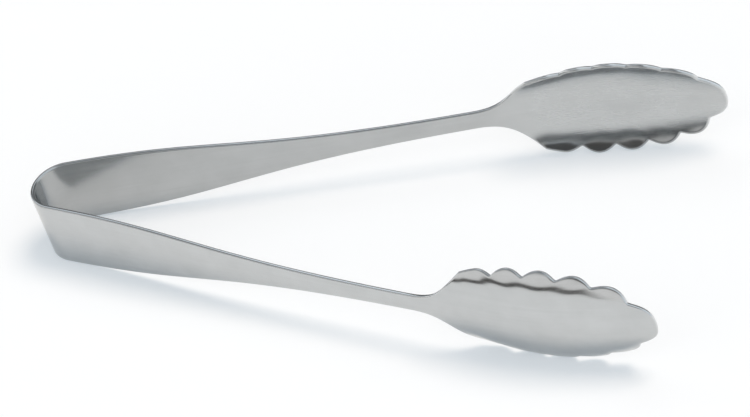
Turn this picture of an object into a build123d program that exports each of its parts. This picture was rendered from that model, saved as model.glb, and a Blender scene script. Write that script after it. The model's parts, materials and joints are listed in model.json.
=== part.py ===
from build123d import *
import os
from math import sqrt

# One-piece serving tongs: one stainless strip bent into a bow that is its own spring, with a
# dished, scalloped bowl pressed at the end of each arm.
# Frame: origin on the axis of the bow's loop at mid-width, +X towards the bowls, +Y towards the
# rear arm, +Z up across the strip's width. Millimetres and degrees.
# Lengths along the arm start where the bow's bend ends and the straight arm begins.

# Strip and bow
sheet = 1.5  # thickness of the strip
loop_radius = 9.8  # inside radius of the bow
spread_angle = 13.1  # each arm from the middle plane at rest
strip_width = 25.4  # width of the strip round the bow

# Arms
arm_length = 225.0  # along the arm, from the bend to the bowl's tip
neck_width = 7.1  # narrow stretch behind each bowl
taper_lead = 0.4  # share of the taper that leaves the bow along the full width
taper_tail = 0.59  # share of the taper that runs into the neck

# Flex lines: where each arm turns when the strip is squeezed
flex_distance = 13.5  # along the arm
flex_gap = 0.05  # running clearance of the rounded end in its seat

# Bowls, each an oval through the tooth tips
bowl_length = 80.0
bowl_width = 39.6
bowl_stem = 6.0  # flat neck that belongs to the bowl, behind the oval
flare_setback = 1.8  # from the oval's back end to where the neck begins to widen
flare_radius = 12.0  # rounding there
shoulder_radius = 6.0  # rounding between the flare and the first tooth

# Dish
dish_depth = 5.4  # inset of the oval's rim from the back of the arm at the widest place
dish_power = 2.5  # flatter middle and steeper rim than a plain arc
dish_fade = 17.0  # length over which the dish grows to full depth
rim_narrowing = 0.35  # how much narrower the dish is at the oval's ends
curl_lead = 15.0  # the spine begins to curl inwards this far behind the bowl's middle
curl_radius = 150.0  # radius of that curl

# Scalloped rim
tooth_count = 5  # on each edge of a bowl
first_tooth_setback = 15.0  # from the oval's back end to the start of the first tooth
tip_lobe = 6.4  # plain rounded tip beyond the last notch
scallop_depth = 2.1  # notches lie this far inside the oval
notch_radius = 0.9

middle_radius = loop_radius + sheet / 2
bowl_middle = arm_length - bowl_length / 2
oval_back = arm_length - bowl_length
bowl_root = oval_back - bowl_stem
arm_plane = Plane.XZ.offset(-middle_radius)


def dish_inset(along, across):
    """How far the back of the bowl lies from the back of the arm, towards the other arm.

    The dish steepens up to its rim and runs on straight beyond it.
    """
    rise = min(max((along - oval_back) / dish_fade, 0.0), 1.0)
    fade = rise * rise * (3 - 2 * rise)
    share = (along - bowl_middle) / (bowl_length / 2)
    rim = bowl_width / 2 * (1 - rim_narrowing * share * share)
    reach = abs(across) / rim
    climb = reach**dish_power if reach < 1 else 1 + dish_power * (reach - 1)
    curl = max(along - bowl_middle + curl_lead, 0.0) ** 2 / (2 * curl_radius)
    return dish_depth * fade * climb + curl


def oval_point(along, inside=0.0):
    """Point of the bowl's upper edge on an oval that lies inside the tooth tips."""
    share = (along - bowl_middle) / (bowl_length / 2 - inside)
    return (along, (bowl_width / 2 - inside) * sqrt(1 - share * share))


def below(point):
    """The same point on the lower edge."""
    return (point[0], -point[1])


def strip_outline():
    """Flat shape of the tapering strip from the bend to the bowl's root."""
    wide, narrow = strip_width / 2, neck_width / 2
    lead, tail = taper_lead * bowl_root, taper_tail * bowl_root
    upper = Bezier((0, wide), (lead, wide), (bowl_root - tail, narrow), (bowl_root, narrow))
    lower = mirror(upper, Plane.XZ)
    return make_face([upper, lower, Line(upper @ 0, lower @ 0), Line(upper @ 1, lower @ 1)])


def bowl_outline():
    """Flat shape of the bowl: neck, flare, scallops and a rounded tip."""
    first, last = oval_back + first_tooth_setback, arm_length - tip_lobe
    pitch = (last - first) / tooth_count
    peaks = [oval_point(first + (k + 0.5) * pitch) for k in range(tooth_count)]
    notches = [oval_point(first + (k + 1) * pitch, scallop_depth) for k in range(tooth_count)]
    shoulder = oval_point(first)
    neck = (bowl_root, neck_width / 2)
    flare = (oval_back + flare_setback, neck_width / 2)
    edges = [Line(below(neck), neck), ThreePointArc(notches[-1], (arm_length, 0), below(notches[-1]))]
    for side in (tuple, below):
        edges += [Line(side(neck), side(flare)), Line(side(flare), side(shoulder))]
        for start, peak, end in zip([shoulder] + notches, peaks, notches):
            edges.append(ThreePointArc(side(start), side(peak), side(end)))
    outline = make_face(edges)
    roundings = [(flare, flare_radius), (shoulder, shoulder_radius)]
    roundings += [(notch, notch_radius) for notch in notches]
    for corner, radius in roundings:
        for side in (tuple, below):
            spot = outline.vertices().sort_by_distance(Vector(*side(corner)))[0]
            outline = fillet(spot, radius)
    return outline


def standing_prism(outline, reach):
    """The flat shape of an arm or bowl, stood on the rear arm's plane before the arm is spread."""
    return extrude(arm_plane * outline, reach, both=True)


def along_arm(section):
    """A section of the strip, seen along its width, laid on the rear arm's plane at full width."""
    return extrude(Pos(0, middle_radius) * section, strip_width / 2, both=True)


def spread(solid):
    """Turn a piece of the rear arm about the bow's axis to its place at rest."""
    return Rot(0, 0, spread_angle) * solid


def opposite(solid):
    """The same piece on the front arm."""
    return mirror(solid, Plane.XZ)


def make_bow():
    """The bend and the two short legs that end in the seats of the flex lines."""
    bend_arc = 180 - 2 * spread_angle
    outer = CenterArc((0, 0), loop_radius + sheet, 90 + spread_angle, bend_arc)
    inner = CenterArc((0, 0), loop_radius, 90 + spread_angle, bend_arc)
    bend_section = make_face([outer, inner, Line(outer @ 0, inner @ 0), Line(outer @ 1, inner @ 1)])
    bend = extrude(bend_section, strip_width / 2, both=True)
    leg_section = Pos(flex_distance / 2, 0) * Rectangle(flex_distance, sheet)
    leg_section -= Pos(flex_distance, 0) * Circle(sheet / 2 + flex_gap)
    leg = spread(along_arm(leg_section) & standing_prism(strip_outline(), sheet))
    return bend + leg + opposite(leg)


def make_handle():
    """The straight tapering arm, with a rounded end that turns in the bow's seat."""
    upper = Line((flex_distance, sheet / 2), (bowl_root, sheet / 2))
    lower = Line((flex_distance, -sheet / 2), (bowl_root, -sheet / 2))
    rounded = ThreePointArc(upper @ 0, (flex_distance - sheet / 2, 0), lower @ 0)
    section = make_face([upper, lower, rounded, Line(upper @ 1, lower @ 1)])
    return spread(along_arm(section) & standing_prism(strip_outline(), sheet))


def make_bowl():
    """The dished bowl: a scalloped blank of the dished surface, thickened square to itself."""
    rows_along, rows_across = 32, 21
    margin = scallop_depth + sheet
    start, length = bowl_root - margin, arm_length - bowl_root + 2 * margin
    half = bowl_width / 2 + margin
    back = middle_radius + sheet / 2
    rows = []
    for i in range(rows_along):
        along = start + length * i / (rows_along - 1)
        offsets = [half * (2 * j / (rows_across - 1) - 1) for j in range(rows_across)]
        rows.append([(along, back - dish_inset(along, across), across) for across in offsets])
    dished = Face.make_surface_from_array_of_points(rows)
    reach = dish_inset(arm_length, bowl_width / 2) + dish_depth + sheet
    blank = dished & standing_prism(bowl_outline(), reach)
    return spread(thicken(blank, sheet, normal_override=(0, -1, 0)))


handle = make_handle()
bowl = make_bowl()
pieces = {
    "spring_bow": make_bow(),
    "front_handle": opposite(handle),
    "front_bowl": opposite(bowl),
    "rear_handle": handle,
    "rear_bowl": bowl,
}

os.makedirs("parts", exist_ok=True)
for name, solid in pieces.items():
    export_step(solid, f"parts/{name}.step")
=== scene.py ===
import json
from math import acos, cos, pi, radians, sin

import bmesh
import bpy
import numpy as np
from mathutils import Matrix, Vector


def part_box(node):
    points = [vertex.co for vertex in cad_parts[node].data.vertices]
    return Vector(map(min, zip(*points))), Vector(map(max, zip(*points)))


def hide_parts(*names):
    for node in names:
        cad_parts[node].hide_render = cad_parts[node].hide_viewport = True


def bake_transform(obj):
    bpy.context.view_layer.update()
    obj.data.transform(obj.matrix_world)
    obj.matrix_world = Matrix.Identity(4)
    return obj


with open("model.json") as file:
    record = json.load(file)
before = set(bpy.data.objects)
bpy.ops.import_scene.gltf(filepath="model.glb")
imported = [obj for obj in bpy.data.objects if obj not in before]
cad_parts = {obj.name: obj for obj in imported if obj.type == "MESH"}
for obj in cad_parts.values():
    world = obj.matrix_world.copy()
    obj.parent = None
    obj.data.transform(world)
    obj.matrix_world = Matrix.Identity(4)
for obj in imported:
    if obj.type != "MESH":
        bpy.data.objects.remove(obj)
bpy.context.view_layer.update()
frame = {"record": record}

# One-piece steel tongs. Each half is one seamless piece, from the middle of the bow to a bowl's tip.
# Metres. Along starts where the bow's bend ends, across is measured from the strip's middle line,
# and depth runs through the sheet from its outer face.

# Strip and bow
loop = next(mount for mount in frame["record"]["mounts"] if mount["name"] == "hang_loop")
SHEET = 0.0015
MIDDLE_RADIUS = loop["dims"]["r_mm"] / 1000 + SHEET / 2
STRIP_HALF = loop["dims"]["length_mm"] / 2000
SPREAD = radians(13.1)  # of each arm from the middle plane
BEND = MIDDLE_RADIUS * (pi / 2 - SPREAD)
EDGE_ROUND = 0.00060

# Arms
ARM = 0.225
NECK_HALF = 0.00355
TAPER_LEAD = 0.4  # pulls of the taper's two ends, as shares of its length
TAPER_TAIL = 0.59

# Bowls
BOWL_LENGTH = 0.080
BOWL_WIDTH = 0.0396
BOWL_STEM = 0.006
FLARE_LEAD = 0.0105
FLARE_TAIL = 0.0120
FLARE_SLOPE = radians(44)
OVAL_HALF = BOWL_LENGTH / 2
RIM_HALF = BOWL_WIDTH / 2
BOWL_MIDDLE = ARM - OVAL_HALF
OVAL_BACK = ARM - BOWL_LENGTH
BOWL_ROOT = OVAL_BACK - BOWL_STEM

# Dish
DISH_DEPTH = 0.0054
DISH_POWER = 3.2
TIP_POWER = 2.5  # rounder dish near the tip
TIP_START = 0.188
TIP_END = 0.203
DISH_FADE = 0.017
RIM_NARROWING = 0.35
CURL_LEAD = 0.015
CURL_RADIUS = 0.150

# Teeth
TOOTH_COUNT = 5
FIRST_TOOTH_SETBACK = 0.015
TIP_LOBE = 0.0064
TIP_SWELL = 0.0005
SCALLOP_DEPTH = 0.0021
NOTCH_ROUND = 0.05  # share of half a tooth
FLUTE_DEPTH = 0.0002
FLUTE_START = 0.60  # share of the rim's reach where the flutes begin
FLUTE_FADE = 0.2  # radians on the oval from the first tooth's start

# Mesh
BEND_ROWS = 48
TAPER_ROWS = 110
FLARE_ROWS = 48
RIM_ROWS = 300
FACE_COLUMNS = 23  # from the middle line to an edge
FACE_CROWDING = 1.25  # above 1, the columns crowd towards the edge
CORNER_COLUMNS = 8
SPINE_SETBACK = 0.012  # from the tip to the last row's start on the middle line
SPINE_EASE = 1.5
SLOPE_STEP = 0.00005
WELD = 1e-7
SLIVER = 1e-8

# Grain of the steel: noise scales along, across and through the strip
FINE_LINES = (14, 2600, 2600)
STREAKS = (25, 700, 700)
SMUDGES = (90, 90, 90)
LINE_DETAIL = 3.0
SMUDGE_DETAIL = 5.0
NOISE_ROUGHNESS = 0.6

# Colour of the steel, with painted shade and painted light by area
SMUDGE_DARK = (0.504, 0.527, 0.537, 1)
SMUDGE_PALE = (0.549, 0.574, 0.585, 1)
SMUDGE_SPAN = (0.3, 0.7)
LINE_CONTRAST = 0.09
INNER_START = 0.3  # shares of the sheet's depth where the inside takes over
INNER_END = 0.7
# painted shade on the inside faces of the strip
INNER_PAINTED_SHADE = 0.13
BOWL_PAINTED_LIGHT = 0.12  # painted light on the inside of the bowls against the inside of the arms
WALL_PAINTED_SHADE = 0.35  # painted shade on the inside of the teeth
WALL_START = 0.62  # shares of the rim's reach
WALL_END = 0.85
EDGE_PAINTED_HIGHLIGHT = 0.30  # painted highlight on the edges
HIGHLIGHT_START = 0.02  # along the arms
HIGHLIGHT_END = 0.09

# Polish of the steel: roughness, what the grain adds to it, and its changes by area
ROUGHNESS = 0.05
GRAIN_ROUGHNESS = 0.06
INNER_ROUGHNESS = 0.03
BOWL_ROUGHNESS = 0.10
WALL_ROUGHNESS = -0.12
EDGE_ROUGHNESS = -0.06
RIM_ROUGHNESS = 0.14
BUMP_STRENGTH = 0.08
BUMP_HEIGHT = 0.00002

# Floor
FLOOR_HALF = 8.0
FLOOR_COLOUR = (0.98, 0.98, 0.98, 1)
FLOOR_ROUGHNESS = 0.9
FLOOR_GLOW = (0.90, 0.99, 1.06, 1)  # plain white, a little cool
FLOOR_WHITE = 0.40  # share of plain white that the floor shows, so that shadows stay light
FLOOR_WHITE_MIRRORED = 0.20  # the same in the steel's reflections

# Studio: stretches as spans of turn and of height in degrees, and strength. Turn is 0 in front and
# grows to the right. A span of two angles rises from the first to the second, and one of four
# rises, stays and falls.
FRONT_DARK = ((-26, -18, 20, 32), (20, 23.5, 42, 52), 0.89)
UPPER_LEFT_DARK = ((-115, -95, -32, -22), (25, 33, 68, 80), 0.55)
BACK_RIGHT_DARK = ((115, 130), (58, 46), 0.85)
BACK_LEFT_DARK = ((-110, -125), (41.6, 39.6), 0.85)
HORIZON_DARK = ((-90, -70, -16, -8), (9.5, 7.0), 1.0)
CEILING_DARK = ((-160, -140, 10, 30), (58, 65), 0.85)
WARM_PANEL = ((-110, -90, 0, 8), (36, 28), 1.0)
STUDIO_COLOUR = (0.91, 0.95, 0.99, 1)
PANEL_COLOUR = (1.00, 0.97, 0.95, 1)
DARK_COLOUR = (0.050, 0.044, 0.040, 1)
WHITE = (1, 1, 1, 1)

# Light
LIGHT_STRENGTH = 1.60
LIGHT_SPREAD = radians(25)
LIGHT_COLOUR = (1.0, 0.86, 0.74)
LIGHT_WAY = Vector((-0.42, -0.20, -1.0))

# Camera, fitted to the outline in the 750 pixel wide frame
FRAME_WIDTH = 750
FOCAL_PIXELS = 4937.6
SENSOR_WIDTH = 36  # millimetres
CAMERA_PLACE = Vector((0.713009, -1.063847, 1.062985))
CAMERA_TURN = radians(29.571)
CAMERA_DROP = radians(40.979)
CAMERA_ROLL = radians(-20.743)


def smooth(share):
    """Smooth step from 0 to 1."""
    share = np.clip(share, 0, 1)
    return share * share * (3 - 2 * share)


def cubic(points, count):
    """Points along a cubic curve, without its last one."""
    t = np.linspace(0, 1, count, endpoint=False)[:, None]
    a, b, c, d = (np.array(point) for point in points)
    return (1 - t) ** 3 * a + 3 * (1 - t) ** 2 * t * b + 3 * (1 - t) * t**2 * c + t**3 * d


def tooth_angles():
    """Angles on the bowl's oval of the first tooth's start and of each notch, past the tip."""
    first, last = OVAL_BACK + FIRST_TOOTH_SETBACK, ARM - TIP_LOBE
    places = np.linspace(first, last, TOOTH_COUNT + 1)
    angles = [acos((place - BOWL_MIDDLE) / OVAL_HALF) for place in places]
    return np.array(angles + [-angles[-1]])


ANGLES = tooth_angles()


def tooth_wave(angle):
    """How near each angle is to a notch: 1 at a notch and 0 in the middle of a tooth."""
    place = np.interp(-angle, -ANGLES, np.arange(len(ANGLES)))
    wave = np.abs(2 * (place - np.floor(place)) - 1)
    return np.where(place < 0.5, 0.0, wave)


def rim_on_oval(angle):
    """The bowl's upper edge at angles on its oval, scalloped."""
    gap = np.sqrt((1 - tooth_wave(angle)) ** 2 + NOTCH_ROUND**2)
    lobe = np.clip(angle / ANGLES[TOOTH_COUNT], 0, 1)
    inset = SCALLOP_DEPTH * np.maximum(1 - gap, 0) ** 2 - TIP_SWELL * np.sin(pi * lobe) ** 2
    normal = np.stack([np.cos(angle) / OVAL_HALF, np.sin(angle) / RIM_HALF], -1)
    normal /= np.linalg.norm(normal, axis=1, keepdims=True)
    oval = np.stack([BOWL_MIDDLE + OVAL_HALF * np.cos(angle), RIM_HALF * np.sin(angle)], -1)
    return oval - inset[:, None] * normal


def upper_edge():
    """Outline of the strip's upper edge, from the middle of the bow to the bowl's tip."""
    turns = np.linspace(-BEND, 0, BEND_ROWS, endpoint=False)
    bend = np.stack([turns, np.full(BEND_ROWS, STRIP_HALF)], -1)
    neck = (BOWL_ROOT, NECK_HALF)
    taper_start = (TAPER_LEAD * BOWL_ROOT, STRIP_HALF)
    taper_end = (BOWL_ROOT - TAPER_TAIL * BOWL_ROOT, NECK_HALF)
    taper = cubic([(0, STRIP_HALF), taper_start, taper_end, neck], TAPER_ROWS)
    oval = rim_on_oval(np.linspace(ANGLES[0], 0, RIM_ROWS))
    oval[-1, 1] = 0
    flare_start = (BOWL_ROOT + FLARE_LEAD, NECK_HALF)
    flare_end = oval[0] - FLARE_TAIL * np.array([cos(FLARE_SLOPE), sin(FLARE_SLOPE)])
    flare = cubic([neck, flare_start, flare_end, oval[0]], FLARE_ROWS)
    return np.concatenate([bend, taper, flare, oval])


def rim_reach(along, across):
    """Share of the way from the bowl's middle line to its rim."""
    share = np.clip((along - BOWL_MIDDLE) / OVAL_HALF, -1, 1)
    return np.abs(across) / (RIM_HALF * (1 - RIM_NARROWING * share**2))


def dish_inset(along, across):
    """Inset of the outer face from the arm's own outer face, with a shallow flute at each tooth."""
    fade = smooth((along - OVAL_BACK) / DISH_FADE)
    reach = rim_reach(along, across)
    tip = smooth((along - TIP_START) / (TIP_END - TIP_START))
    power = DISH_POWER + (TIP_POWER - DISH_POWER) * tip
    climb = np.where(reach < 1, reach**power, 1 + power * (reach - 1))
    curl = np.maximum(along - BOWL_MIDDLE + CURL_LEAD, 0) ** 2 / (2 * CURL_RADIUS)
    angle = np.arctan2(np.abs(across) / RIM_HALF, (along - BOWL_MIDDLE) / OVAL_HALF)
    swell = np.where(angle < ANGLES[0], np.cos(pi * tooth_wave(angle) / 2) ** 2, 0)
    swell *= smooth((ANGLES[0] - angle) / FLUTE_FADE)
    flute = FLUTE_DEPTH * swell * smooth((reach - FLUTE_START) / (1 - FLUTE_START))
    return fade * (DISH_DEPTH * climb + flute) + curl


def sheet_points(along, across, depth):
    """Places on the rear half for points of the flat strip, as an array of x, y and z."""
    ahead = dish_inset(along + SLOPE_STEP, across)
    behind = dish_inset(along - SLOPE_STEP, across)
    above = dish_inset(along, across + SLOPE_STEP)
    below = dish_inset(along, across - SLOPE_STEP)
    slope_along = (ahead - behind) / (2 * SLOPE_STEP)
    slope_across = (above - below) / (2 * SLOPE_STEP)
    share = depth / np.sqrt(1 + slope_along**2 + slope_across**2)
    outer = MIDDLE_RADIUS + SHEET / 2
    u = along - slope_along * share
    v = outer - dish_inset(along, across) - share
    z = across - slope_across * share
    turn = np.maximum(-along, 0) / MIDDLE_RADIUS
    u = np.where(along < 0, -(outer - depth) * np.sin(turn), u)
    v = np.where(along < 0, (outer - depth) * np.cos(turn), v)
    return np.stack([u * cos(SPREAD) - v * sin(SPREAD), u * sin(SPREAD) + v * cos(SPREAD), z], -1)


def section_steps():
    """Steps round half a cross-section: share of the way to the rim, inset from the rim, depth."""
    shares = 1 - (1 - np.linspace(0, 1, FACE_COLUMNS)) ** FACE_CROWDING
    corner = np.linspace(0, pi / 2, CORNER_COLUMNS)
    face = [(share, EDGE_ROUND, 0.0) for share in shares]
    outer = [(1, EDGE_ROUND * (1 - sin(a)), EDGE_ROUND * (1 - cos(a))) for a in corner[1:]]
    inner = [(1, inset, SHEET - depth) for _, inset, depth in reversed(outer)]
    back = [(share, inset, SHEET) for share, inset, _ in reversed(face)]
    return np.array(face + outer + inner + back)


def strip_grid():
    """Rows from the bow's middle to the tip, each round the upper half of the cross-section."""
    edge = upper_edge()
    tangent = np.gradient(edge, axis=0)
    outward = np.stack([-tangent[:, 1], tangent[:, 0]], -1)
    outward /= np.linalg.norm(outward, axis=1, keepdims=True)
    outward[-1] = (1, 0)
    walk = np.concatenate([[0], np.cumsum(np.linalg.norm(np.diff(edge, axis=0), axis=1))])
    late = np.searchsorted(edge[:, 0], BOWL_MIDDLE)
    done = (walk[late:] - walk[late]) / (walk[-1] - walk[late])
    spine = edge[:, 0].copy()
    start = edge[late, 0]
    spine[late:] = start + (ARM - SPINE_SETBACK - start) * (1 - (1 - done) ** SPINE_EASE)
    share, inset, depth = section_steps().T
    rim = edge[:, None, :] - outward[:, None, :] * inset[None, :, None]
    middle = np.stack([spine, np.zeros_like(spine)], -1)[:, None, :]
    flat = middle + (rim - middle) * share[None, :, None]
    return flat[..., 0], flat[..., 1], np.broadcast_to(depth, flat.shape[:2])


def lay_sheet(bm, side):
    """The upper and lower halves of a strip as quads, with each point's place on the flat strip."""
    along, across, depth = strip_grid()
    points = sheet_points(along, across, depth) * (1, side, 1)
    reaches = rim_reach(along, across)
    place = bm.verts.layers.float_vector.new("strip")
    reach = bm.verts.layers.float.new("reach")
    rows, columns = along.shape
    for half in (1, -1):
        grid = []
        for i, j in np.ndindex(rows, columns):
            x, y, z = points[i, j]
            vert = bm.verts.new((x, y, half * z))
            vert[place] = (along[i, j], half * across[i, j], depth[i, j])
            vert[reach] = reaches[i, j]
            grid.append(vert)
        for i, j in np.ndindex(rows - 1, columns - 1):
            a, b = i * columns + j, (i + 1) * columns + j
            bm.faces.new((grid[a], grid[b], grid[b + 1], grid[a + 1]))


def make_half(name, side):
    """One half of the tongs as a closed mesh, on the rear side (1) or the front side (-1).

    Normals at the middle of the bow lie in the middle plane, so that no seam shows there.
    """
    bm = bmesh.new()
    lay_sheet(bm, side)
    bmesh.ops.remove_doubles(bm, verts=bm.verts, dist=WELD)
    bmesh.ops.dissolve_degenerate(bm, edges=bm.edges, dist=SLIVER)
    bmesh.ops.recalc_face_normals(bm, faces=bm.faces)
    bm.normal_update()
    bm.verts.index_update()
    seam = [vert for vert in bm.verts if abs(vert.co.y) < WELD and vert.co.x < 0]
    normals = [vert.normal.copy() for vert in bm.verts]
    for vert in seam:
        normals[vert.index].y = 0
        normals[vert.index].normalize()
    bmesh.ops.holes_fill(bm, edges=[edge for edge in bm.edges if edge.is_boundary], sides=0)
    for face in bm.faces:
        face.smooth = True
    mesh = bpy.data.meshes.new(name)
    bm.to_mesh(mesh)
    bm.free()
    mesh.normals_split_custom_set_from_vertices(normals)
    piece = bpy.data.objects.new(name, mesh)
    bpy.context.scene.collection.objects.link(piece)
    return piece


def node(tree, kind, **values):
    """A shader node with its properties and inputs set by name."""
    made = tree.nodes.new(kind)
    for key, value in values.items():
        if key in made.inputs:
            made.inputs[key].default_value = value
        else:
            setattr(made, key, value)
    return made


def calc(tree, operation, *values):
    """The result of a math node fed by numbers and sockets."""
    made = node(tree, "ShaderNodeMath", operation=operation)
    for socket, value in zip(made.inputs, values):
        if isinstance(value, (int, float)):
            socket.default_value = value
        else:
            tree.links.new(value, socket)
    return made.outputs["Value"]


def mix(tree, share, first, second):
    """A mix of two colours, each a constant or a socket."""
    made = node(tree, "ShaderNodeMix", data_type="RGBA")
    tree.links.new(share, made.inputs["Factor"])
    for name, colour in (("A", first), ("B", second)):
        if isinstance(colour, tuple):
            made.inputs[name].default_value = colour
        else:
            tree.links.new(colour, made.inputs[name])
    return made.outputs["Result"]


def step(tree, source, low, high):
    """A smooth step of a socket from 0 at low to 1 at high, which may lie below low."""
    made = node(tree, "ShaderNodeMapRange", interpolation_type="SMOOTHSTEP")
    made.inputs["From Min"].default_value = low
    made.inputs["From Max"].default_value = high
    tree.links.new(source, made.inputs["Value"])
    return made.outputs["Result"]


def add_areas(tree, value, areas):
    """A socket's value with a change added in each area."""
    for area, change in areas:
        value = calc(tree, "MULTIPLY_ADD", area, change, value)
    return value


def strip_noise(tree, place, scale, detail):
    """Noise on the flat strip, with its own scale along, across and through the sheet."""
    stretch = node(tree, "ShaderNodeMapping", Scale=scale)
    tree.links.new(place, stretch.inputs["Vector"])
    noise = node(tree, "ShaderNodeTexNoise", Scale=1.0, Detail=detail, Roughness=NOISE_ROUGHNESS)
    tree.links.new(stretch.outputs["Vector"], noise.inputs["Vector"])
    return noise.outputs["Fac"]


def steel():
    """Polished stainless steel, rougher inside the bowls, with painted shade on the inside faces and
    inside the teeth, and painted light inside the bowls.

    The edges get a painted highlight that grows away from the bow. Fine lines and streaks run along
    the strip, and cloudy smudges lie over them.
    """
    material = bpy.data.materials.new("polished_steel")
    material.use_nodes = True
    tree = material.node_tree
    shader = tree.nodes["Principled BSDF"]
    shader.inputs["Metallic"].default_value = 1.0

    place = node(tree, "ShaderNodeAttribute", attribute_name="strip").outputs["Vector"]
    reach = node(tree, "ShaderNodeAttribute", attribute_name="reach").outputs["Fac"]
    split = node(tree, "ShaderNodeSeparateXYZ")
    tree.links.new(place, split.inputs["Vector"])
    along = split.outputs["X"]
    depth = calc(tree, "DIVIDE", split.outputs["Z"], SHEET)
    inner = step(tree, depth, INNER_START, INNER_END)
    edge = calc(tree, "MULTIPLY", depth, calc(tree, "MULTIPLY_ADD", depth, -4.0, 4.0))
    bowl = step(tree, along, BOWL_ROOT, OVAL_BACK + DISH_FADE)
    hollow = calc(tree, "MULTIPLY", inner, bowl)
    rim_edge = calc(tree, "MULTIPLY", edge, bowl)
    # painted highlight on the edges, growing away from the bow
    edge_highlight = calc(tree, "MULTIPLY", edge, step(tree, along, HIGHLIGHT_START, HIGHLIGHT_END))
    # the inside of the teeth, which gets painted shade and less roughness
    wall = calc(tree, "MULTIPLY", hollow, step(tree, reach, WALL_START, WALL_END))

    lines = strip_noise(tree, place, FINE_LINES, LINE_DETAIL)
    streaks = strip_noise(tree, place, STREAKS, LINE_DETAIL)
    smudge = strip_noise(tree, place, SMUDGES, SMUDGE_DETAIL)
    grain = calc(tree, "ADD", lines, streaks)

    tint = node(tree, "ShaderNodeValToRGB")
    ends = zip(tint.color_ramp.elements, SMUDGE_SPAN, (SMUDGE_DARK, SMUDGE_PALE))
    for element, position, colour in ends:
        element.position = position
        element.color = colour
    tree.links.new(smudge, tint.inputs["Fac"])
    shade = calc(tree, "MULTIPLY_ADD", grain, LINE_CONTRAST, 1.0 - LINE_CONTRAST)
    shade = add_areas(tree, shade, (
        # painted shade on the inside faces
        (inner, -INNER_PAINTED_SHADE),
        # painted light inside the bowls
        (hollow, BOWL_PAINTED_LIGHT),
        # painted shade inside the teeth
        (wall, -WALL_PAINTED_SHADE),
        # painted highlight on the edges
        (edge_highlight, EDGE_PAINTED_HIGHLIGHT),
    ))
    scaled = node(tree, "ShaderNodeVectorMath", operation="SCALE")
    tree.links.new(tint.outputs["Color"], scaled.inputs[0])
    tree.links.new(shade, scaled.inputs["Scale"])
    tree.links.new(scaled.outputs["Vector"], shader.inputs["Base Color"])

    mottle = calc(tree, "ADD", grain, smudge)
    rough = calc(tree, "MULTIPLY_ADD", mottle, GRAIN_ROUGHNESS, ROUGHNESS)
    rough = add_areas(tree, rough, (
        (inner, INNER_ROUGHNESS),
        (hollow, BOWL_ROUGHNESS),
        (wall, WALL_ROUGHNESS),
        (edge, EDGE_ROUGHNESS),
        (rim_edge, RIM_ROUGHNESS),
    ))
    tree.links.new(rough, shader.inputs["Roughness"])
    bump = node(tree, "ShaderNodeBump", Strength=BUMP_STRENGTH, Distance=BUMP_HEIGHT)
    tree.links.new(grain, bump.inputs["Height"])
    tree.links.new(bump.outputs["Normal"], shader.inputs["Normal"])
    return material


def dress():
    """Both halves, in steel, in place of the bow, the handles and the bowls."""
    finish = steel()
    halves = []
    for name, side in (("front", -1), ("rear", 1)):
        half = make_half(f"{name}_half_strip", side)
        half.data.materials.append(finish)
        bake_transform(half)
        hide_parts("spring_bow", f"{name}_handle", f"{name}_bowl")
        halves.append(half)
    return halves


def floor_finish():
    """Pale and matt, and partly plain white to the camera and in reflections."""
    material = bpy.data.materials.new("pale_floor")
    material.use_nodes = True
    tree = material.node_tree
    shader = tree.nodes["Principled BSDF"]
    shader.inputs["Base Color"].default_value = FLOOR_COLOUR
    shader.inputs["Roughness"].default_value = FLOOR_ROUGHNESS
    shader.inputs["Specular IOR Level"].default_value = 0.0
    path = node(tree, "ShaderNodeLightPath")
    mirrored = calc(tree, "MULTIPLY", path.outputs["Is Glossy Ray"], FLOOR_WHITE_MIRRORED)
    share = calc(tree, "MULTIPLY_ADD", path.outputs["Is Camera Ray"], FLOOR_WHITE, mirrored)
    white = node(tree, "ShaderNodeEmission", Color=FLOOR_GLOW)
    mixed = node(tree, "ShaderNodeMixShader")
    tree.links.new(share, mixed.inputs["Fac"])
    tree.links.new(shader.outputs["BSDF"], mixed.inputs[1])
    tree.links.new(white.outputs["Emission"], mixed.inputs[2])
    tree.links.new(mixed.outputs["Shader"], tree.nodes["Material Output"].inputs["Surface"])
    return material


def make_floor(halves):
    """A pale floor that touches the bow's lower back edge and the bowls' lower teeth."""
    points = np.array([vert.co for half in halves for vert in half.data.vertices])
    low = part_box("spring_bow")[0]
    bowls = points[points[:, 0] > BOWL_ROOT]
    slope = np.min((bowls[:, 2] - low.z) / (bowls[:, 0] - low.x))
    corners = []
    for x, y in ((-1, -1), (1, -1), (1, 1), (-1, 1)):
        z = low.z + slope * (FLOOR_HALF * x - low.x)
        corners.append((FLOOR_HALF * x, FLOOR_HALF * y, z))
    mesh = bpy.data.meshes.new("floor")
    mesh.from_pydata(corners, [], [(0, 1, 2, 3)])
    mesh.materials.append(floor_finish())
    floor = bpy.data.objects.new("floor", mesh)
    bpy.context.scene.collection.objects.link(floor)


def span(tree, angle, bounds):
    """1 where an angle lies within a span in degrees and 0 outside it, with smooth ends."""
    first, full, *fall = (radians(bound) for bound in bounds)
    inside = step(tree, angle, first, full)
    if fall:
        last, end = fall
        inside = calc(tree, "MULTIPLY", inside, step(tree, angle, end, last))
    return inside


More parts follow.
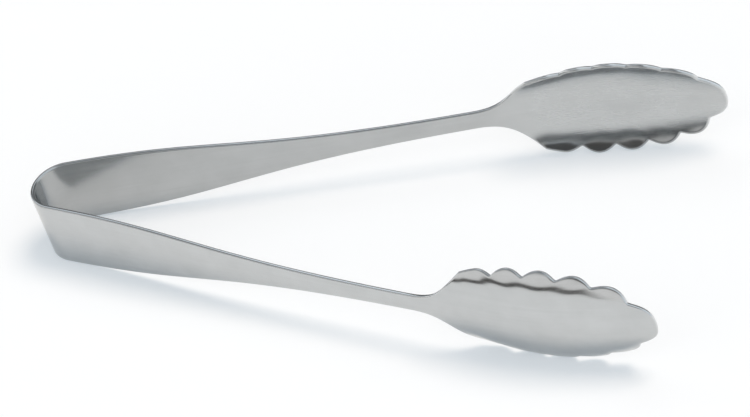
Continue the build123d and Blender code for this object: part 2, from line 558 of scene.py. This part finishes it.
def make_world():
    """A bright studio, plain white to the camera, with a warm panel low on the left.

    Darker stretches lie in front, overhead, above on the left, behind on both sides and along the
    horizon on the left.
    """
    world = bpy.data.worlds.new("studio")
    bpy.context.scene.world = world
    world.use_nodes = True
    tree = world.node_tree
    place = node(tree, "ShaderNodeTexCoord")
    split = node(tree, "ShaderNodeSeparateXYZ")
    tree.links.new(place.outputs["Generated"], split.inputs["Vector"])
    ahead = calc(tree, "MULTIPLY", split.outputs["Y"], -1.0)
    turn = calc(tree, "ARCTAN2", split.outputs["X"], ahead)
    height = calc(tree, "ARCSINE", split.outputs["Z"])

    def stretch(turns, heights, strength):
        area = calc(tree, "MULTIPLY", span(tree, turn, turns), span(tree, height, heights))
        return calc(tree, "MULTIPLY", area, strength)

    dark = stretch(*FRONT_DARK)
    others = (UPPER_LEFT_DARK, BACK_RIGHT_DARK, BACK_LEFT_DARK, HORIZON_DARK, CEILING_DARK)
    for other in others:
        dark = calc(tree, "MAXIMUM", dark, stretch(*other))
    pale = mix(tree, stretch(*WARM_PANEL), STUDIO_COLOUR, PANEL_COLOUR)
    studio = mix(tree, dark, pale, DARK_COLOUR)
    path = node(tree, "ShaderNodeLightPath")
    shown = mix(tree, path.outputs["Is Camera Ray"], studio, WHITE)
    tree.links.new(shown, tree.nodes["Background"].inputs["Color"])


def make_light():
    """One soft light from above, a little to the right and behind."""
    light = bpy.data.lights.new("key", "SUN")
    light.energy = LIGHT_STRENGTH
    light.angle = LIGHT_SPREAD
    light.color = LIGHT_COLOUR
    lamp = bpy.data.objects.new("key", light)
    bpy.context.scene.collection.objects.link(lamp)
    lamp.rotation_euler = LIGHT_WAY.to_track_quat("-Z", "Y").to_euler()
    lamp.visible_glossy = False


def make_camera():
    """The photograph's viewpoint."""
    level = Vector((cos(CAMERA_TURN), sin(CAMERA_TURN), 0))
    ahead = Vector((-sin(CAMERA_TURN), cos(CAMERA_TURN), 0))
    forward = ahead * cos(CAMERA_DROP) - Vector((0, 0, sin(CAMERA_DROP)))
    upright = level.cross(forward)
    right = level * cos(CAMERA_ROLL) + upright * sin(CAMERA_ROLL)
    up = upright * cos(CAMERA_ROLL) - level * sin(CAMERA_ROLL)
    data = bpy.data.cameras.new("camera")
    data.sensor_width = SENSOR_WIDTH
    data.lens = FOCAL_PIXELS / FRAME_WIDTH * data.sensor_width
    camera = bpy.data.objects.new("camera", data)
    turn = Matrix((right, up, -forward)).transposed()
    camera.matrix_world = Matrix.Translation(CAMERA_PLACE) @ turn.to_4x4()
    bpy.context.scene.collection.objects.link(camera)
    bpy.context.scene.camera = camera


make_floor(dress())
make_world()
make_light()
make_camera()
bpy.context.scene.view_settings.view_transform = "Standard"
